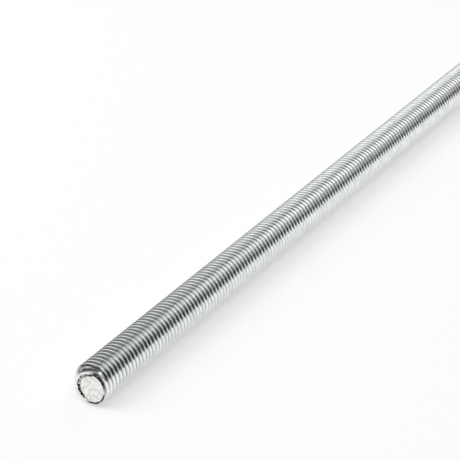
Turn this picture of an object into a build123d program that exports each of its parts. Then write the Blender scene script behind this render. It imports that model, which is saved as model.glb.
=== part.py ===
from build123d import *
import math
import os

# Threaded rod, M12 coarse thread, in millimetres.
# The rod lies along +X, and +Z is up. The origin is on its axis, in the near end's cut face.

# Rod. The section is the rod's crest circle: the rolled crests stay a little under the
# nominal diameter, and the thread itself lies inside this circle.
NOMINAL_DIAMETER = 12.0
CREST_ALLOWANCE = 0.17
THREAD_PITCH = 1.75
LENGTH = 300.0

# Far end, cut square and chamfered just past the root of the thread.
# The thread cuts 17/24 of the height of its 60 degree triangle.
TRIANGLE_PER_PITCH = math.sqrt(3) / 2
DEPTH_PER_TRIANGLE = 17 / 24
CHAMFER_PAST_ROOT = 0.15

# Near end, left as it was cropped, and nothing on it is centred. A bevel, a lip and a
# sunk crease lie inside each other round a bare flat land, and each is thin on one side
# and thick on the other. The thin sides are angles from +Y towards +Z.
BEVEL_THIN_SIDE = -136.0
BEVEL_THIN = 0.50
BEVEL_THICK = 1.60
BEVEL_ANGLE = 35.0
CREASE_THIN_SIDE = 178.0
LIP_THIN = 0.10
LIP_THICK = 0.90
CREASE_THIN = 0.12
CREASE_THICK = 0.95
CREASE_DEPTH = 0.60
CREASE_WALL_ANGLE = 15.0
LAND_WALL_ANGLE = 8.0

# Worked-out sizes
CREST_RADIUS = (NOMINAL_DIAMETER - CREST_ALLOWANCE) / 2
THREAD_DEPTH = THREAD_PITCH * TRIANGLE_PER_PITCH * DEPTH_PER_TRIANGLE
FAR_CHAMFER = THREAD_DEPTH + CHAMFER_PAST_ROOT
BEVEL_LENGTH = BEVEL_THICK / math.tan(math.radians(BEVEL_ANGLE))


def inner_circle(outer, thin, thick, thin_side):
    """The radius and centre (y, z) of a circle inside another, by a thin and a thick margin."""
    radius, centre_y, centre_z = outer
    shift = (thick - thin) / 2
    direction = math.radians(thin_side)
    centre_y = centre_y + shift * math.cos(direction)
    centre_z = centre_z + shift * math.sin(direction)
    return radius - (thin + thick) / 2, centre_y, centre_z


def end_disc(circle):
    """A disc in the near end's plane."""
    radius, centre_y, centre_z = circle
    return Plane.YZ * Pos(centre_y, centre_z, 0) * Circle(radius)


def shank():
    """The rod at its crest circle, chamfered at the far end."""
    bar = extrude(end_disc((CREST_RADIUS, 0, 0)), amount=LENGTH)
    far_rim = bar.edges().sort_by(Axis.X)[-1]
    return chamfer(far_rim, FAR_CHAMFER)


def bevel_waste(face):
    """What the off-centre bevel takes off: a ring that narrows to the thin side."""
    ring = extrude(end_disc((CREST_RADIUS, 0, 0)), amount=BEVEL_LENGTH)
    kept = extrude(end_disc(face), amount=BEVEL_LENGTH, taper=-BEVEL_ANGLE)
    return ring - kept


def crease_waste(lip_inside, land):
    """The sunk crease round the land, narrower at its floor than at its mouth."""
    pocket = extrude(end_disc(lip_inside), amount=CREASE_DEPTH, taper=CREASE_WALL_ANGLE)
    core = extrude(end_disc(land), amount=CREASE_DEPTH, taper=-LAND_WALL_ANGLE)
    return pocket - core


def threaded_rod():
    """The whole rod, in one piece."""
    face = inner_circle((CREST_RADIUS, 0, 0), BEVEL_THIN, BEVEL_THICK, BEVEL_THIN_SIDE)
    lip_inside = inner_circle(face, LIP_THIN, LIP_THICK, CREASE_THIN_SIDE)
    land = inner_circle(lip_inside, CREASE_THIN, CREASE_THICK, CREASE_THIN_SIDE)
    return shank() - bevel_waste(face) - crease_waste(lip_inside, land)


os.makedirs("parts", exist_ok=True)
export_step(threaded_rod(), "parts/threaded_rod.step")
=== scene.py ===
import logging
import math
from dataclasses import dataclass
from enum import Enum

import bpy
import numpy as np
from mathutils import Matrix, Vector


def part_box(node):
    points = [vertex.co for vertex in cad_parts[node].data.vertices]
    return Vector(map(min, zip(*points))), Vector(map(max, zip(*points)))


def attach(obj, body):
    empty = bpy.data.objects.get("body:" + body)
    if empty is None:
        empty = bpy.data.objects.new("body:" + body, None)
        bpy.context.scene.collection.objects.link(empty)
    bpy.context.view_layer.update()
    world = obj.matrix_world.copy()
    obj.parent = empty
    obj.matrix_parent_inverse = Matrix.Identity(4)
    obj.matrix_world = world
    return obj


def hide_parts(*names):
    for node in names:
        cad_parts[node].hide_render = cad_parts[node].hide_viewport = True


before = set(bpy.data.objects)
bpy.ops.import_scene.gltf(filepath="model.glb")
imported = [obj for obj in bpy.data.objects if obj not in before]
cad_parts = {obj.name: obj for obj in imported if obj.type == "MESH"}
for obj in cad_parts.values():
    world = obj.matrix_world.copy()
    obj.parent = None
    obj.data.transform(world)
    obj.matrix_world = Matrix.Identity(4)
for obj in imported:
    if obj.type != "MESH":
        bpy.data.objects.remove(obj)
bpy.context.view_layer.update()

# A zinc-plated M12 threaded rod on a white sheet, in metres.
# The rod lies along +X, and its near end's cut face is in the plane x = 0.

LOG = logging.getLogger("threaded_rod")
MM = 0.001
TURN = 2 * math.pi

# How deep a cut has to go below the thread to count as cut metal all through.
CUT_EDGE = 0.04 * MM
# Values round the rod: each has an angle in degrees, from +Y towards +Z, and a level.
Round = tuple[tuple[float, float], ...]


class Finish(Enum):
    """The places on the rod that the material treats apart, as names of mesh attributes."""

    # Where the near end is painted with shade: its crease, rim, run-out groove and contact shadow.
    GRIME = "grime"
    BARE = "bare"
    CUT = "cut"


def linear(hex_colour: str) -> tuple[float, float, float, float]:
    """Turns an sRGB hex value into a linear colour.

    Args:
        hex_colour: Six hex digits, such as "c8cac8".

    Returns:
        Red, green, blue and an alpha of 1.
    """
    shares = [int(hex_colour[i:i + 2], 16) / 255 for i in (0, 2, 4)]
    curve = [s / 12.92 if s <= 0.04045 else ((s + 0.055) / 1.055) ** 2.4 for s in shares]
    return (*curve, 1.0)


def add_node(tree: bpy.types.NodeTree, kind: str, settings: dict | None = None,
             links: dict | None = None) -> bpy.types.Node:
    """Adds a node, sets it and links its inputs.

    Args:
        tree: The node tree that gets the node.
        kind: The node's type name.
        settings: Values by property name, or by input name or number for a socket. The
            stops of a colour ramp are its positions and linear colours, in order.
        links: Output sockets by input name or number.

    Returns:
        The new node.
    """
    node = tree.nodes.new(kind)
    for name, value in (settings or {}).items():
        if name == "stops":
            elements = node.color_ramp.elements
            while len(elements) < len(value):
                elements.new(0.5)
            for element, (position, colour) in zip(elements, value):
                element.position = position
                element.color = colour
        elif isinstance(name, str) and hasattr(node, name):
            setattr(node, name, value)
        else:
            node.inputs[name].default_value = value
    for name, socket in (links or {}).items():
        tree.links.new(socket, node.inputs[name])
    return node


def round_the_rod(angle: np.ndarray, places: Round) -> np.ndarray:
    """Levels round the rod, straight between the places given and closed over the turn."""
    degrees, levels = zip(*places)
    return np.interp(np.degrees(angle), degrees, levels, period=360)


@dataclass(frozen=True)
class ThreadForm:
    """The rod's M12 coarse thread: flanks 56 degrees apart, with rounded crests and roots.

    Its profile is straight between corner points, given by where they lie in one pitch,
    as a share of the pitch from the crest's middle, and by how deep they are, as a share
    of the thread's depth.
    """

    crest_radius: float = 5.915 * MM
    pitch: float = 1.75 * MM
    depth_per_pitch: float = 0.6134
    start_angle: float = math.radians(-150.0)
    corner_share: tuple[float, ...] = (-0.16, -0.072, 0.072, 0.16, 0.41, 0.46, 0.54, 0.59)
    corner_depth: tuple[float, ...] = (0.13, 0.0, 0.0, 0.13, 0.90, 1.0, 1.0, 0.90)

    @property
    def depth(self) -> float:
        """The thread's depth in metres."""
        return self.depth_per_pitch * self.pitch

    @property
    def corners(self) -> int:
        """How many corner points one pitch has."""
        return len(self.corner_share)

    def turns_round(self, angle: np.ndarray) -> np.ndarray:
        """The share of a turn from the start angle, growing with the angle about +X."""
        return (angle - self.start_angle) / TURN

    def radius(self, x: np.ndarray, angle: np.ndarray) -> np.ndarray:
        """The thread's radius at any place on the rod.

        A right-hand crest moves one pitch along +X for each turn about +X, so the
        profile is read at x over the pitch, less the turns round the rod.

        Args:
            x: Places along the rod.
            angle: Angles from +Y towards +Z.

        Returns:
            Radii, in the shape of the two arguments together.
        """
        share = x / self.pitch - self.turns_round(angle)
        depth = np.interp(share, self.corner_share, self.corner_depth, period=1.0)
        return self.crest_radius - self.depth * depth


@dataclass(frozen=True)
class OffsetCircle:
    """A circle in the end's plane whose centre is off the rod's axis."""

    radius: float
    centre_y: float
    centre_z: float

    def inner(self, thin: float, thick: float, thin_side: float) -> "OffsetCircle":
        """A circle inside this one, nearer on one side than on the other.

        Args:
            thin: The margin on the thin side.
            thick: The margin on the other side.
            thin_side: The thin side's angle from +Y towards +Z.

        Returns:
            The inner circle.
        """
        shift = (thick - thin) / 2
        return OffsetCircle(self.radius - (thin + thick) / 2,
                            self.centre_y + shift * math.cos(thin_side),
                            self.centre_z + shift * math.sin(thin_side))

    def reach(self, angle: np.ndarray, grow: float | np.ndarray = 0.0) -> np.ndarray:
        """How far the circle is from the axis.

        The axis is inside the circle, so along each ray from it the distance is the
        ray's share of the centre plus the root of the radius squared less the square of
        how far the ray passes from the centre.

        Args:
            angle: Ray angles from +Y towards +Z.
            grow: Added to the circle's radius.

        Returns:
            The distances.
        """
        along = self.centre_y * np.cos(angle) + self.centre_z * np.sin(angle)
        beside = self.centre_z * np.cos(angle) - self.centre_y * np.sin(angle)
        return along + np.sqrt((self.radius + grow) ** 2 - beside ** 2)


@dataclass(frozen=True)
class Waviness:
    """A smooth closed line of small chance waves round the rod, for rough-cut edges."""

    height: float
    seed: int
    fewest: int = 3
    most: int = 23

    def at(self, angle: np.ndarray) -> np.ndarray:
        """The line's height: a sum of cosines with seeded sizes and phases.

        Args:
            angle: Angles round the rod.

        Returns:
            Heights with a root mean square of the height given.
        """
        draw = np.random.default_rng(self.seed)
        waves = np.arange(self.fewest, self.most)
        sizes = draw.normal(size=waves.size)
        phases = draw.uniform(0, TURN, waves.size)
        line = np.cos(angle[..., None] * waves + phases) @ sizes
        return self.height * line / math.sqrt((sizes ** 2).sum() / 2)


@dataclass
class Surface:
    """Vertices, triangles and attributes gathered for one mesh."""

    points: list[np.ndarray]
    faces: list[np.ndarray]
    values: dict[str, list[np.ndarray]]
    crease_angle: float = math.radians(14.0)

    @staticmethod
    def empty() -> "Surface":
        """A surface with nothing in it yet."""
        return Surface([], [], {finish.value: [] for finish in Finish})

    def add_points(self, x: np.ndarray, radius: np.ndarray, angle: np.ndarray,
                   grime: float | np.ndarray = 0.0, bare: float | np.ndarray = 0.0,
                   cut: float | np.ndarray = 0.0) -> np.ndarray:
        """Adds points given round the rod's axis.

        Args:
            x: Places along the rod.
            radius: Distances from the axis.
            angle: Angles from +Y towards +Z.
            grime: How much painted shade each point has, 0 to 1.
            bare: How much each point is bare cropped metal, 0 to 1.
            cut: 1 where the thread is cut away, so that neither the painted root shade nor the darker upper
                side lies there.

        Returns:
            The new points' numbers, in the arguments' shape.
        """
        x, radius, angle, grime, bare, cut = np.broadcast_arrays(x, radius, angle, grime, bare, cut)
        first = sum(len(p) for p in self.points)
        place = np.stack([x, radius * np.cos(angle), radius * np.sin(angle)], axis=-1)
        self.points.append(place.reshape(-1, 3))
        for finish, share in zip(Finish, (grime, bare, cut)):
            self.values[finish.value].append(share.reshape(-1))
        return first + np.arange(x.size).reshape(x.shape)

    def add_triangles(self, a: np.ndarray, b: np.ndarray, c: np.ndarray) -> None:
        """Adds triangles, and leaves out those with two corners in one point.

        Args:
            a: First corners' numbers.
            b: Second corners' numbers.
            c: Third corners' numbers.
        """
        rows = np.stack([a.ravel(), b.ravel(), c.ravel()], axis=-1)
        whole = (rows[:, 0] != rows[:, 1]) & (rows[:, 1] != rows[:, 2]) & (rows[:, 2] != rows[:, 0])
        self.faces.append(rows[whole])

    def add_band(self, low: np.ndarray, high: np.ndarray) -> None:
        """Adds the closed band between rings of equal counts, in order along +X.

        Args:
            low: Point numbers of the rings nearer the near end, one row a ring.
            high: Point numbers of the rings after them.
        """
        low_next = np.roll(low, -1, axis=-1)
        high_next = np.roll(high, -1, axis=-1)
        self.add_triangles(low, low_next, high_next)
        self.add_triangles(low, high_next, high)

    def build(self, name: str) -> bpy.types.Object:
        """Makes the mesh object.

        Args:
            name: The object's name.

        Returns:
            The object, in the scene, with its attributes on its points.
        """
        points = np.concatenate(self.points)
        faces = np.concatenate(self.faces)
        mesh = bpy.data.meshes.new(name)
        mesh.vertices.add(len(points))
        mesh.vertices.foreach_set("co", points.ravel())
        mesh.loops.add(faces.size)
        mesh.loops.foreach_set("vertex_index", faces.ravel())
        mesh.polygons.add(len(faces))
        mesh.polygons.foreach_set("loop_start", np.arange(0, faces.size, 3))
        mesh.update(calc_edges=True)
        for key, parts in self.values.items():
            layer = mesh.attributes.new(key, "FLOAT", "POINT")
            layer.data.foreach_set("value", np.concatenate(parts).astype(np.float32))
        mesh.shade_smooth()
        mesh.set_sharp_from_angle(angle=self.crease_angle)
        piece = bpy.data.objects.new(name, mesh)
        bpy.context.scene.collection.objects.link(piece)
        return piece


@dataclass(frozen=True)
class ZincPlate:
    """Bright zinc plate on rolled steel threads, and the bare steel of the cropped end.

    Electroplated zinc is a bluish, satin mirror, slightly cloudy: it mirrors broad lights
    as soft streaks. A grey film of painted shade lies in the roots, and the upper side is
    darker near the near end. The near end's crease, rim, run-out groove and contact line
    get painted shade of a darker grey.
    Cropped steel is torn, so its core is matt and pale. The plate's grain is finer than
    shows in the render, and is drawn here as coarse as it needs to be.
    """

    name: str = "zinc_plated_rolled_steel"
    plate: str = "f5f7f6"
    dull_plate: str = "e8ebe9"
    # The colour of the painted shade in the thread's roots, and of the darker upper side near the near end.
    dark_film: str = "5e6266"
    # The colour of all painted shade at the near end: in its crease, on its rim, in the run-out groove and
    # in the contact shadow under the rod.
    crease_shade: str = "3b3a36"
    cropped_core: str = "f9f8f6"
    dull_core: str = "dddfd9"
    roughness: float = 0.16
    roughness_spread: float = 0.08
    crop_roughness: float = 0.42

    # Clouds: their size, their finer layers, and the heights between which they turn.
    cloud_size: float = 2.6 * MM
    cloud_detail: float = 3.0
    cloud_turn: tuple[float, float] = (0.35, 0.60)
    rough_turn: tuple[float, float] = (0.30, 0.70)
    core_cloud_size: float = 1.1 * MM
    core_cloud_detail: float = 4.0
    core_cloud_turn: tuple[float, float] = (0.36, 0.56)
    grain_size: float = 0.16 * MM
    grain_detail: float = 2.0
    grain_height: float = 0.006 * MM

    # The painted shade in the thread's roots, by share of the thread's depth and by place along the rod.
    root_shade_whole_from: float = 0.90
    root_shade_ends_at: float = 0.25
    root_shade_at_near_end: float = 1.0
    root_shade_far_along: float = 0.40
    root_shade_fades_over: float = 150 * MM

    # The darker upper side near the near end, which starts where the cosine of the angle from its side is
    # this.
    top_darkening_at_near_end: float = 0.40
    top_darkening_fades_over: float = 110 * MM
    darkened_side: float = math.radians(70.0)
    top_darkening_starts_at: float = 0.45

    def material(self, form: ThreadForm) -> bpy.types.Material:
        """Makes the node material.

        Args:
            form: The thread, for where its roots are.

        Returns:
            The material.
        """
        material = bpy.data.materials.new(self.name)
        material.use_nodes = True
        tree = material.node_tree
        tree.nodes.clear()
        place = add_node(tree, "ShaderNodeTexCoord").outputs["Object"]
        clouds = add_node(tree, "ShaderNodeTexNoise",
                          {"Scale": 1 / self.cloud_size, "Detail": self.cloud_detail}, {"Vector": place})
        grain = add_node(tree, "ShaderNodeTexNoise",
                         {"Scale": 1 / self.grain_size, "Detail": self.grain_detail}, {"Vector": place})
        bare = add_node(tree, "ShaderNodeAttribute", {"attribute_name": Finish.BARE.value}).outputs["Fac"]
        plate = self.darkened_plate(tree, place, clouds.outputs[0], form)
        core_clouds = add_node(tree, "ShaderNodeTexNoise",
                               {"Scale": 1 / self.core_cloud_size, "Detail": self.core_cloud_detail},
                               {"Vector": place})
        core = self.cloudy(tree, core_clouds.outputs[0], self.core_cloud_turn, self.dull_core,
                           self.cropped_core)
        cropped = add_node(tree, "ShaderNodeMix", {"data_type": "RGBA"}, {0: bare, 6: plate, 7: core})
        # Painted shade at the near end, read from a point attribute and mixed over the colour.
        grime = add_node(tree, "ShaderNodeAttribute", {"attribute_name": Finish.GRIME.value})
        colour = add_node(tree, "ShaderNodeMix", {"data_type": "RGBA", 7: linear(self.crease_shade)},
                          {0: grime.outputs["Fac"], 6: cropped.outputs[2]})
        bump = add_node(tree, "ShaderNodeBump", {"Strength": 1.0, "Distance": self.grain_height},
                        {"Height": grain.outputs[0]})
        metal = add_node(tree, "ShaderNodeBsdfPrincipled", {"Metallic": 1.0},
                         {"Base Color": colour.outputs[2], "Normal": bump.outputs[0],
                          "Roughness": self.rough(tree, clouds.outputs[0], bare)})
        add_node(tree, "ShaderNodeOutputMaterial", links={"Surface": metal.outputs[0]})
        return material

    def cloudy(self, tree: bpy.types.NodeTree, clouds: bpy.types.NodeSocket,
               turn: tuple[float, float], low: str, high: str) -> bpy.types.NodeSocket:
        """A colour that turns into another with the clouds' height.

        Args:
            tree: The material's nodes.
            clouds: The clouds' height.
            turn: The heights between which the colour turns.
            low: The lower colour, as a hex value.
            high: The higher colour.

        Returns:
            The colour socket.
        """
        share = add_node(tree, "ShaderNodeMapRange", {"From Min": turn[0], "From Max": turn[1]},
                         {"Value": clouds})
        both = add_node(tree, "ShaderNodeMix", {"data_type": "RGBA", 6: linear(low), 7: linear(high)},
                        {0: share.outputs[0]})
        return both.outputs[2]

    def darkened_plate(self, tree: bpy.types.NodeTree, place: bpy.types.NodeSocket,
                    clouds: bpy.types.NodeSocket, form: ThreadForm) -> bpy.types.NodeSocket:
        """The plate's colour under the painted shade in its roots and its darker upper side.

        The painted root shade is whole near the root, ends at a share of the thread's depth,
        and thins out along +X. The darkening of the upper side grows with the cosine of the
        angle from that side, and fades along +X. Neither lies where the thread is cut away.

        Args:
            tree: The material's nodes.
            place: Object coordinates.
            clouds: Broad clouds.
            form: The thread.

        Returns:
            The colour socket.
        """
        plate = self.cloudy(tree, clouds, self.cloud_turn, self.dull_plate, self.plate)
        axes = add_node(tree, "ShaderNodeSeparateXYZ", links={0: place})
        across = add_node(tree, "ShaderNodeCombineXYZ",
                          links={"Y": axes.outputs["Y"], "Z": axes.outputs["Z"]})
        cut = add_node(tree, "ShaderNodeAttribute", {"attribute_name": Finish.CUT.value})
        kept = add_node(tree, "ShaderNodeMath", {"operation": "SUBTRACT", 0: 1.0}, {1: cut.outputs["Fac"]})
        outward = add_node(tree, "ShaderNodeVectorMath", {"operation": "NORMALIZE"}, {0: across.outputs[0]})
        side = (0.0, math.cos(self.darkened_side), math.sin(self.darkened_side))
        facing = add_node(tree, "ShaderNodeVectorMath", {"operation": "DOT_PRODUCT", 1: side},
                          {0: outward.outputs[0]})
        top_darkening = add_node(tree, "ShaderNodeMapRange", {"From Min": self.top_darkening_starts_at},
                        {"Value": facing.outputs["Value"]})
        top_darkening_fade = add_node(tree, "ShaderNodeMapRange",
                             {"From Max": self.top_darkening_fades_over, "To Min": self.top_darkening_at_near_end,
                              "To Max": 0.0}, {"Value": axes.outputs["X"]})
        radius = add_node(tree, "ShaderNodeVectorMath", {"operation": "LENGTH"}, {0: across.outputs[0]})
        root_shade = add_node(tree, "ShaderNodeMapRange",
                        {"From Min": form.crest_radius - self.root_shade_whole_from * form.depth,
                         "From Max": form.crest_radius - self.root_shade_ends_at * form.depth,
                         "To Min": 1.0, "To Max": 0.0}, {"Value": radius.outputs["Value"]})
        root_shade_fade = add_node(tree, "ShaderNodeMapRange",
                             {"From Max": self.root_shade_fades_over, "To Min": self.root_shade_at_near_end,
                              "To Max": self.root_shade_far_along}, {"Value": axes.outputs["X"]})
        for layer, fade in ((top_darkening, top_darkening_fade), (root_shade, root_shade_fade)):
            lying = add_node(tree, "ShaderNodeMath", {"operation": "MULTIPLY"},
                             {0: fade.outputs[0], 1: kept.outputs[0]})
            share = add_node(tree, "ShaderNodeMath", {"operation": "MULTIPLY"},
                             {0: lying.outputs[0], 1: layer.outputs[0]})
            plate = add_node(tree, "ShaderNodeMix", {"data_type": "RGBA", 7: linear(self.dark_film)},
                             {0: share.outputs[0], 6: plate}).outputs[2]
        return plate

    def rough(self, tree: bpy.types.NodeTree, clouds: bpy.types.NodeSocket,
              bare: bpy.types.NodeSocket) -> bpy.types.NodeSocket:
        """The roughness: patchy on the plate and matt on the cropped core.

        Args:
            tree: The material's nodes.
            clouds: Broad clouds.
            bare: How much each place is bare cropped metal.

        Returns:
            The roughness socket.
        """
        low, high = self.rough_turn
        patch = add_node(tree, "ShaderNodeMapRange",
                         {"From Min": low, "From Max": high,
                          "To Min": self.roughness + self.roughness_spread, "To Max": self.roughness},
                         {"Value": clouds})
        matt = add_node(tree, "ShaderNodeMix", {"B": self.crop_roughness},
                        {"Factor": bare, "A": patch.outputs[0]})
        return matt.outputs[0]


@dataclass(frozen=True)
class NearEnd:
    """The near end as it was cropped: an off-centre bevel, a lip, a crease and a bare land."""

    length: float = 3.5 * MM
    bevel_thin_side: float = math.radians(-136.0)
    bevel_thin: float = 0.50 * MM
    bevel_thick: float = 1.60 * MM
    bevel_slope: float = math.tan(math.radians(35.0))
    crease_thin_side: float = math.radians(178.0)
    lip_thin: float = 0.10 * MM
    lip_thick: float = 0.90 * MM
    crease_thin: float = 0.12 * MM
    crease_thick: float = 0.95 * MM
    crease_depth: float = 0.60 * MM
    rows: int = 60
    columns: int = 128

    # Below these widths of crease and lip there is no room for more waves.
    least_lip: float = 0.04 * MM
    least_crease: float = 0.06 * MM
    full_crease: float = 0.60 * MM
    closed_side: Round = ((100, 0.0), (120, 1.0), (265, 1.0), (285, 0.0))

    # The thread's last groove, by its middle in millimetres and by how much of it there is.
    groove_width: float = 0.55 * MM
    groove_depth: float = 0.25 * MM
    groove_middle: Round = ((58, 0.80), (74, 0.92), (114, 1.45), (126, 1.62))
    groove_share: Round = ((52, 0.0), (64, 1.0), (114, 1.0), (126, 0.0))

    # Chance waves of the cropped edges.
    bevel_waves: Waviness = Waviness(0.05 * MM, 3)
    lip_waves: Waviness = Waviness(0.07 * MM, 11, 4, 31)
    land_waves: Waviness = Waviness(0.056 * MM, 5, 4, 31)

    # Painted shade and bare metal round the end. A line of painted shade keeps its full
    # strength over the first part of its width: an edge of 1.6 starts to fade at 0.375 of it.
    torn_bevel: Round = ((100, 0.8), (118, 0.15), (150, 0.15), (175, 0.8))
    torn_lip: float = 0.8
    # Painted shade on the bevel's inner edge and the lip, from the top round to the -Y side.
    rim_shade: Round = ((95, 0.0), (115, 1.0), (165, 1.0), (192, 0.0))
    rim_shade_width: float = 0.55 * MM
    rim_shade_waves: Waviness = Waviness(0.3, 31, 8, 44)
    rim_shade_edge: float = 1.6
    # A painted contact shadow along the bevel's underside, where the rod meets the sheet.
    contact_shadow: Round = ((186, 0.0), (200, 1.0), (266, 1.0), (282, 0.0))
    contact_shadow_width: float = 0.70 * MM
    contact_shadow_edge: float = 1.8
    # Painted shade filling the thread's run-out groove.
    groove_shade: float = 0.95
    # Painted shade in the crease round the end, whole on one side and in specks over the top.
    crease_shade: Round = ((0, 0.65), (25, 0.45), (70, 0.5), (100, 0.9), (112, 0.0), (284, 0.0),
                          (298, 1.0), (330, 1.1))
    crease_shade_specks: Waviness = Waviness(0.5, 21, 9, 44)

    def face(self, crest_radius: float) -> OffsetCircle:
        """The bevel's edge in the end's plane."""
        crest = OffsetCircle(crest_radius, 0.0, 0.0)
        return crest.inner(self.bevel_thin, self.bevel_thick, self.bevel_thin_side)

    def side(self, form: ThreadForm, x: np.ndarray, angle: np.ndarray) -> np.ndarray:
        """The radius of the thread under the bevel: the smaller of the two.

        Args:
            form: The thread.
            x: Places along the rod.
            angle: Angles round it.

        Returns:
            Radii.
        """
        return np.minimum(form.radius(x, angle), self.bevel(form, x, angle))

    def bevel(self, form: ThreadForm, x: np.ndarray, angle: np.ndarray) -> np.ndarray:
        """The bevel's radius: a circle that grows along +X, with chance waves and the groove.

        Args:
            form: The thread.
            x: Places along the rod.
            angle: Angles round it.

        Returns:
            Radii.
        """
        face = self.face(form.crest_radius)
        cone = face.reach(angle, self.bevel_slope * x) + self.bevel_waves.at(angle)
        return cone - self.groove_depth * self.run_out(x, angle)

    def run_out(self, x: np.ndarray, angle: np.ndarray) -> np.ndarray:
        """The thread's last groove, which runs out across the upper side of the bevel.

        Across its middle line it is a bell: e to the power of less the square of the
        distance from the middle over the groove's width.

        Args:
            x: Places along the rod.
            angle: Angles round it.

        Returns:
            How much of the groove each place has, 0 to 1.
        """
        middle = MM * round_the_rod(angle, self.groove_middle)
        share = round_the_rod(angle, self.groove_share)
        return share * np.exp(-((x - middle) / self.groove_width) ** 2)

    def add(self, surface: Surface, form: ThreadForm, rim: np.ndarray) -> None:
        """Adds the side, the lip, the crease and the land.

        Args:
            surface: What they are added to.
            form: The thread.
            rim: The thread's first ring, with half as many points.
        """
        angle = form.start_angle + TURN * np.arange(self.columns) / self.columns
        x = np.linspace(0, self.length, self.rows)[:, None]
        radius = self.side(form, x, angle)
        cut = np.clip((form.radius(x, angle) - radius) / CUT_EDGE, 0.0, 1.0)
        bare = cut * round_the_rod(angle, self.torn_bevel)
        side = surface.add_points(x, radius, angle, self.side_shade(x, angle), bare, cut)
        surface.add_band(side[:-1], side[1:])
        join_rings(surface, side[-1], rim)
        self.add_cap(surface, form, angle, side[0])

    def side_shade(self, x: np.ndarray, angle: np.ndarray) -> np.ndarray:
        """How much painted shade the bevel has.

        The painted shade of the rim fades along +X from the bevel's inner edge, over a width
        with chance waves. A painted contact shadow lies under the rod, and painted shade fills
        the run-out groove.

        Args:
            x: Places along the rod.
            angle: Angles round it.

        Returns:
            The painted shade, 0 to 1.
        """
        width = self.rim_shade_width * (1 + self.rim_shade_waves.at(angle))
        inner = np.clip(self.rim_shade_edge * (1 - x / width), 0.0, 1.0)
        line = np.clip(self.contact_shadow_edge * (1 - x / self.contact_shadow_width), 0.0, 1.0)
        shade = inner * round_the_rod(angle, self.rim_shade) + line * round_the_rod(angle, self.contact_shadow)
        return np.clip(shade + self.groove_shade * self.run_out(x, angle), 0.0, 1.0)

    def add_cap(self, surface: Surface, form: ThreadForm, angle: np.ndarray, rim: np.ndarray) -> None:
        """Adds what lies inside the end's rim.

        Each ring is an off-centre circle with chance waves, kept inside the ring before
        it, and the last is closed to a point on the axis. The crease gets painted shade all
        through on one side and in specks over the top.

        Args:
            surface: What it is added to.
            form: The thread.
            angle: The columns' angles.
            rim: The rim's point numbers.
        """
        face = self.face(form.crest_radius)
        lip = face.inner(self.lip_thin, self.lip_thick, self.crease_thin_side)
        land = lip.inner(self.crease_thin, self.crease_thick, self.crease_thin_side)
        outer = self.side(form, np.zeros(1), angle)
        lip_edge = np.minimum(lip.reach(angle) + self.lip_waves.at(angle), outer - self.least_lip)
        land_edge = np.minimum(land.reach(angle) + self.land_waves.at(angle), lip_edge - self.least_crease)
        width = lip_edge - land_edge
        solid = round_the_rod(angle, self.crease_shade)
        shade = np.clip(solid + self.crease_shade_specks.at(angle) * (solid > 0), 0.0, 1.0)
        rim_shade = np.maximum(round_the_rod(angle, self.rim_shade), round_the_rod(angle, self.contact_shadow))
        shut = round_the_rod(angle, self.closed_side)
        deep = self.crease_depth * np.clip(width / self.full_crease, 0.05, 1.0) * (1 - 0.9 * shut)
        lip_shade = np.maximum(0.9 * shade, 0.8 * rim_shade)
        # Each ring's radius, how far it is sunk, how much painted shade it has and how bare.
        rings = [
            (outer - 0.03 * MM, 0.015 * MM, rim_shade, self.torn_lip),
            (lip_edge + 0.02 * MM, 0.02 * MM, rim_shade, self.torn_lip),
            (lip_edge, 0.10 * deep + 0.02 * MM, lip_shade, self.torn_lip),
            (lip_edge - 0.12 * width, 0.8 * deep, shade, shut),
            (lip_edge - 0.35 * width, deep, shade, shut),
            (land_edge + 0.30 * width, deep, shade, shut),
            (land_edge + 0.12 * width, 0.7 * deep, shade, shut),
            (land_edge + 0.03 * width, 0.10 * MM * (1 - 0.5 * shut), 0.8 * shade, 1.0),
            (land_edge - 0.10 * MM, 0.04 * MM, 0.3 * shade, 1.0),
            (land_edge - 0.25 * MM, 0.04 * MM, 0.0, 1.0),
            (0.80 * land_edge, 0.05 * MM, 0.0, 1.0),
            (0.55 * land_edge, 0.04 * MM, 0.0, 1.0),
            (0.28 * land_edge, 0.05 * MM, 0.0, 1.0),
        ]
        later = rim
        for radius, x, grime, bare in rings:
            ring = surface.add_points(x, radius, angle, grime, bare, 1.0)
            surface.add_band(ring, later)
            later = ring
        pole = surface.add_points(np.array([0.045 * MM]), np.zeros(1), np.zeros(1), 0.0, 1.0, 1.0)
        centre = np.broadcast_to(pole, later.shape)
        surface.add_triangles(centre, np.roll(later, -1), later)


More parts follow.
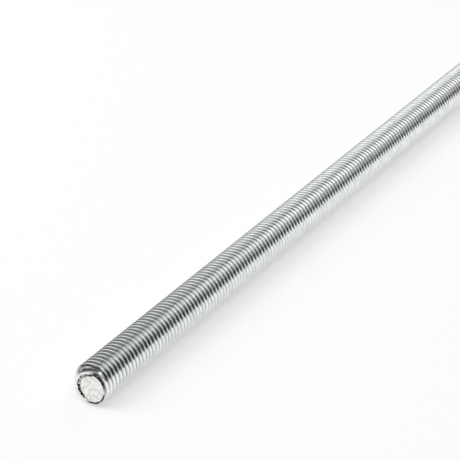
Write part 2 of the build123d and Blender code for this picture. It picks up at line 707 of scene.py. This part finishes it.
@dataclass(frozen=True)
class FarEnd:
    """The far end, sawn square and chamfered just past the thread's root."""

    length: float = 2.6 * MM
    chamfer: float = 1.2235 * MM
    rows: int = 26
    face_rings: tuple[float, ...] = (0.97, 0.75, 0.5, 0.25)
    bare: float = 0.5

    def side(self, form: ThreadForm, x: np.ndarray, angle: np.ndarray, end: float) -> np.ndarray:
        """The radius of the thread under the chamfer: the smaller of the two.

        Args:
            form: The thread.
            x: Places along the rod.
            angle: Angles round it.
            end: Where the rod ends.

        Returns:
            Radii.
        """
        cone = form.crest_radius - self.chamfer + (end - x)
        return np.minimum(form.radius(x, angle), cone)

    def add(self, surface: Surface, form: ThreadForm, angle: np.ndarray, rim: np.ndarray,
            end: float) -> None:
        """Adds the chamfered side and the flat face.

        Args:
            surface: What they are added to.
            form: The thread.
            angle: The columns' angles.
            rim: The thread's last ring.
            end: Where the rod ends.
        """
        x = np.linspace(end - self.length, end, self.rows)[1:, None]
        radius = self.side(form, x, angle, end)
        cut = np.clip((form.radius(x, angle) - radius) / CUT_EDGE, 0.0, 1.0)
        side = surface.add_points(x, radius, angle, 0.0, 0.0, cut)
        surface.add_band(rim, side[0])
        surface.add_band(side[:-1], side[1:])
        edge = self.side(form, np.full(1, end), angle, end)
        shares = np.array(self.face_rings)[:, None]
        face = surface.add_points(end, shares * edge, angle, 0.0, self.bare, 1.0)
        surface.add_band(side[-1], face[0])
        surface.add_band(face[:-1], face[1:])
        pole = surface.add_points(np.array([end]), np.zeros(1), np.zeros(1), 0.0, self.bare, 1.0)
        centre = np.broadcast_to(pole, face[-1].shape)
        surface.add_triangles(face[-1], np.roll(face[-1], -1), centre)


def join_rings(surface: Surface, fine: np.ndarray, coarse: np.ndarray) -> None:
    """Closes the seam between a ring and the next one, which has half as many points.

    The coarse points lie on every second fine point, so they take the fine points'
    place, and one flat sliver fills each step between them.

    Args:
        surface: What the triangles are added to.
        fine: Point numbers of the finer ring, nearer the near end.
        coarse: Point numbers of the coarser ring.
    """
    even, odd = fine[0::2], fine[1::2]
    even_next, coarse_next = np.roll(even, -1), np.roll(coarse, -1)
    surface.add_triangles(even, odd, coarse)
    surface.add_triangles(odd, coarse_next, coarse)
    surface.add_triangles(odd, even_next, coarse_next)


@dataclass
class ThreadedRod:
    """The rod: one helical surface, a cropped near end and a sawn far end."""

    form: ThreadForm
    near: NearEnd
    far: FarEnd
    finish: ZincPlate
    length: float
    columns: int = 64
    seam: float = 0.08 * MM
    node: str = "threaded_rod"

    def build(self) -> bpy.types.Object:
        """Builds and dresses the rod in the CAD node's place.

        Returns:
            The rod's object.
        """
        surface = Surface.empty()
        angle = self.form.start_angle + TURN * np.arange(self.columns) / self.columns
        first = self.near.length + self.seam
        last = self.length - self.far.length
        rim_low, rim_high = self.add_thread(surface, angle, first, last)
        self.near.add(surface, self.form, rim_low)
        self.far.add(surface, self.form, angle, rim_high, self.length)
        piece = surface.build("rolled_thread_rod")
        piece.data.materials.append(self.finish.material(self.form))
        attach(piece, "root")
        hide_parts(self.node)
        return piece

    def add_thread(self, surface: Surface, angle: np.ndarray, first: float,
                   last: float) -> tuple[np.ndarray, np.ndarray]:
        """Adds the helical thread between two planes.

        Rows follow the thread's corners: row i and column j lie at the pitch times the
        whole turns of i, plus the corner's share, plus the column's turns round the rod.
        Past a plane a row stops in it, so all its points there are one point of the rim.
        After the last column, row i meets the first column's row one turn further on.

        Args:
            surface: What it is added to.
            angle: The columns' angles.
            first: Where the thread's surface starts.
            last: Where it ends.

        Returns:
            The point numbers of the first and the last rim.
        """
        form = self.form
        lowest = math.floor(first / form.pitch) - 2
        highest = math.ceil(last / form.pitch) + 2
        turns = np.arange(lowest, highest)
        shares = (turns[:, None] + np.array(form.corner_share)).reshape(-1, 1)
        x = form.pitch * (shares + form.turns_round(angle))
        inside = (x > first) & (x < last)
        low = surface.add_points(first, form.radius(np.full(1, first), angle), angle)
        high = surface.add_points(last, form.radius(np.full(1, last), angle), angle)
        numbers = np.where(x <= first, low, high)
        spread = np.broadcast_to(angle, x.shape)
        numbers[inside] = surface.add_points(x[inside], form.radius(x, spread)[inside],
                                             spread[inside])
        near, beyond = numbers[:, :-1], numbers[:, 1:]
        surface.add_triangles(near[:-1], beyond[:-1], beyond[1:])
        surface.add_triangles(near[:-1], beyond[1:], near[1:])
        seam, start = numbers[:-form.corners, -1], numbers[form.corners:, 0]
        surface.add_triangles(seam[:-1], start[:-1], start[1:])
        surface.add_triangles(seam[:-1], start[1:], seam[1:])
        return low, high


@dataclass(frozen=True)
class WhiteSheet:
    """The white paper sheet under the rod, which keeps its soft shadow."""

    name: str = "white_paper_sheet"
    paper: str = "fbfbfd"
    spread: float = 6.0
    camera_glow: float = 0.52
    mirror_glow: float = 0.52

    def build(self, height: float) -> bpy.types.Object:
        """Makes the sheet.

        Args:
            height: Where it lies.

        Returns:
            The sheet's object.
        """
        corner = self.spread / 2
        points = [(-corner, -corner, height), (corner, -corner, height),
                  (corner, corner, height), (-corner, corner, height)]
        mesh = bpy.data.meshes.new(self.name)
        mesh.from_pydata(points, [], [(0, 1, 2, 3)])
        sheet = bpy.data.objects.new(self.name, mesh)
        bpy.context.scene.collection.objects.link(sheet)
        mesh.materials.append(self.material())
        return sheet

    def material(self) -> bpy.types.Material:
        """White paper, which the camera and the bright metal see a share nearer to white.

        Returns:
            The material.
        """
        material = bpy.data.materials.new(self.name)
        material.use_nodes = True
        tree = material.node_tree
        tree.nodes.clear()
        paper = add_node(tree, "ShaderNodeBsdfDiffuse", {"Color": linear(self.paper)})
        white = add_node(tree, "ShaderNodeEmission", {"Color": (1.0, 1.0, 1.0, 1.0), "Strength": 1.0})
        path = add_node(tree, "ShaderNodeLightPath")
        mirrored = add_node(tree, "ShaderNodeMath", {"operation": "MULTIPLY", 1: self.mirror_glow},
                            {0: path.outputs["Is Glossy Ray"]})
        share = add_node(tree, "ShaderNodeMath", {"operation": "MULTIPLY_ADD", 1: self.camera_glow},
                         {0: path.outputs["Is Camera Ray"], 2: mirrored.outputs[0]})
        both = add_node(tree, "ShaderNodeMixShader",
                        links={0: share.outputs[0], 1: paper.outputs[0], 2: white.outputs[0]})
        add_node(tree, "ShaderNodeOutputMaterial", links={"Surface": both.outputs[0]})
        return material


@dataclass(frozen=True)
class Studio:
    """Soft studio light, told by direction.

    A direction has two angles: the turn about the rod, where 0 is level on the +Y side, 90
    is overhead and 180 is level on the -Y side, and the lean, which is 0 straight behind
    the near end and 180 straight ahead of the rod. Two long softboxes hang over the rod
    with a dim gap between them. A bright wall stands ahead, and the rest is dim.

    The rings hold a lean and the light levels at the turns. They aren't set by hand: a
    least squares fit of the thread's reflections to the photograph's brightness made them.
    """

    turns: tuple[float, ...] = (11.0, 18.0, 50.0, 65.0, 85.0, 90.0, 95.0, 120.0, 126.0, 160.0, 170.0)
    rings: tuple[tuple[float, tuple[float, ...]], ...] = (
        (27.0, (0.57, 0.77, 0.42, 0.00, 0.06, 0.24, 0.30, 0.35, 0.26, 0.94, 0.00)),
        (33.0, (0.03, 0.00, 0.10, 0.38, 0.18, 0.15, 0.52, 0.80, 0.12, 0.09, 0.00)),
        (50.0, (0.00, 0.00, 1.55, 2.11, 1.02, 0.34, 0.64, 1.25, 0.98, 0.00, 0.00)),
        (60.0, (0.27, 1.46, 2.07, 1.73, 0.88, 0.50, 1.03, 1.69, 1.02, 0.00, 0.00)),
        (90.0, (0.00, 0.17, 0.66, 0.31, 0.42, 1.25, 2.10, 1.71, 0.00, 0.00, 0.00)),
        (110.0, (0.00, 0.00, 0.04, 0.00, 0.31, 1.16, 1.39, 0.70, 0.00, 0.00, 0.49)),
        (140.0, (0.73, 0.39, 0.10, 0.22, 0.52, 0.95, 0.62, 0.65, 0.53, 0.00, 0.00)),
        (147.0, (1.52, 1.40, 1.04, 0.80, 1.07, 1.69, 2.07, 1.58, 0.34, 0.00, 0.00)),
    )
    brightest: float = 2.4
    tint: str = "fdfffe"
    key_power: float = 10.5
    key_size: float = 1.2
    key_place: tuple[float, float, float] = (-0.2, 0.9, 1.2)

    def build(self) -> None:
        """Makes the world and the lamp."""
        world = bpy.data.worlds.new("studio_room")
        bpy.context.scene.world = world
        world.use_nodes = True
        tree = world.node_tree
        tree.nodes.clear()
        place = add_node(tree, "ShaderNodeTexCoord").outputs["Generated"]
        axes = add_node(tree, "ShaderNodeSeparateXYZ", links={0: place})
        turn = self.degrees(tree, "ARCTAN2", {0: axes.outputs[2], 1: axes.outputs[1]})
        ahead = self.degrees(tree, "ARCCOSINE", {0: axes.outputs[0]})
        lean = add_node(tree, "ShaderNodeMath", {"operation": "SUBTRACT", 0: 180.0}, {1: ahead})
        light = self.light(tree, turn, lean.outputs[0])
        room = add_node(tree, "ShaderNodeBackground", {"Strength": self.brightest}, {"Color": light})
        white = add_node(tree, "ShaderNodeBackground", {"Color": (1.0, 1.0, 1.0, 1.0), "Strength": 1.0})
        path = add_node(tree, "ShaderNodeLightPath")
        both = add_node(tree, "ShaderNodeMixShader",
                        links={0: path.outputs["Is Camera Ray"], 1: room.outputs[0], 2: white.outputs[0]})
        add_node(tree, "ShaderNodeOutputWorld", links={"Surface": both.outputs[0]})
        self.add_key_light()

    def degrees(self, tree: bpy.types.NodeTree, operation: str,
                links: dict[int, bpy.types.NodeSocket]) -> bpy.types.NodeSocket:
        """Works out an angle in degrees.

        Args:
            tree: The world's nodes.
            operation: Blender's name of the arc function.
            links: What it reads.

        Returns:
            The angle.
        """
        arc = add_node(tree, "ShaderNodeMath", {"operation": operation}, links)
        angle = add_node(tree, "ShaderNodeMath", {"operation": "MULTIPLY", 1: math.degrees(1)},
                         {0: arc.outputs[0]})
        return angle.outputs[0]

    def light(self, tree: bpy.types.NodeTree, turn: bpy.types.NodeSocket,
              lean: bpy.types.NodeSocket) -> bpy.types.NodeSocket:
        """The room's light: straight between the levels of each ring, and from ring to ring.

        Args:
            tree: The world's nodes.
            turn: The turn about the rod in degrees.
            lean: The lean from straight behind the near end in degrees.

        Returns:
            The light as a share of the brightest.
        """
        low, high = self.turns[0], self.turns[-1]
        share = add_node(tree, "ShaderNodeMapRange", {"From Min": low, "From Max": high}, {"Value": turn})
        places = [(t - low) / (high - low) for t in self.turns]
        tint = linear(self.tint)
        light, before = None, 0.0
        for at, levels in self.rings:
            colours = [(*(level / self.brightest * c for c in tint[:3]), 1.0) for level in levels]
            ring = add_node(tree, "ShaderNodeValToRGB", {"stops": list(zip(places, colours))},
                            {0: share.outputs[0]}).outputs["Color"]
            if light is None:
                light, before = ring, at
                continue
            past = add_node(tree, "ShaderNodeMapRange", {"From Min": before, "From Max": at},
                            {"Value": lean})
            step = add_node(tree, "ShaderNodeMix", {"data_type": "RGBA"},
                            {0: past.outputs[0], 6: light, 7: ring})
            light, before = step.outputs[2], at
        return light

    def add_key_light(self) -> None:
        """Adds the square softbox that faces the rod and gives it its soft shadow."""
        light = bpy.data.lights.new("key_light", "AREA")
        light.size = self.key_size
        light.energy = self.key_power
        lamp = bpy.data.objects.new("key_light", light)
        lamp.location = self.key_place
        lamp.visible_glossy = False
        lamp.rotation_mode = "QUATERNION"
        lamp.rotation_quaternion = (-Vector(self.key_place)).to_track_quat("-Z", "Y")
        bpy.context.scene.collection.objects.link(lamp)


@dataclass(frozen=True)
class PhotoCamera:
    """A long lens that looks down along the rod from its near end.

    The place of the near end and the lens come from the rod's own edges and thread in
    the photograph. Pixels are those of its 460 pixel frame.
    """

    frame_px: float = 460.0
    lens_px: float = 2190.0
    elevation: float = math.radians(26.84)
    yaw: float = math.radians(29.88)
    near_end_px: tuple[float, float] = (87.9, 386.4)
    near_end_depth: float = 0.607
    sensor: float = 36.0
    clip_start: float = 0.01

    def build(self) -> None:
        """Makes the camera and gives it to the scene."""
        cos_e, sin_e = math.cos(self.elevation), math.sin(self.elevation)
        forward = Vector((cos_e * math.cos(self.yaw), cos_e * math.sin(self.yaw), -sin_e))
        right = Vector((math.sin(self.yaw), -math.cos(self.yaw), 0.0))
        up = right.cross(forward)
        across = (self.near_end_px[0] - self.frame_px / 2) / self.lens_px
        down = (self.near_end_px[1] - self.frame_px / 2) / self.lens_px
        data = bpy.data.cameras.new("photo_camera")
        data.sensor_width = self.sensor
        data.lens = self.sensor * self.lens_px / self.frame_px
        data.clip_start = self.clip_start
        camera = bpy.data.objects.new("photo_camera", data)
        turn = Matrix((right, up, -forward)).transposed().to_4x4()
        camera.matrix_world = Matrix.Translation(
            -self.near_end_depth * (forward + across * right - down * up)) @ turn
        bpy.context.scene.collection.objects.link(camera)
        bpy.context.scene.camera = camera


def write_sizes() -> None:
    """Updates the view layer."""
    bpy.context.view_layer.update()


def main() -> None:
    """Builds the rod and its studio, and reports each piece."""
    logging.basicConfig(level=logging.INFO)
    low, high = (Vector(c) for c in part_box("threaded_rod"))
    rod = ThreadedRod(ThreadForm(), NearEnd(), FarEnd(), ZincPlate(), high.x)
    piece = rod.build()
    LOG.info("%s: %d triangles", piece.name, len(piece.data.polygons))
    sheet = WhiteSheet().build(low.z)
    LOG.info("%s at %.4f m", sheet.name, low.z)
    Studio().build()
    PhotoCamera().build()
    bpy.context.scene.view_settings.view_transform = "Standard"
    write_sizes()


if __name__ == "__main__":
    main()
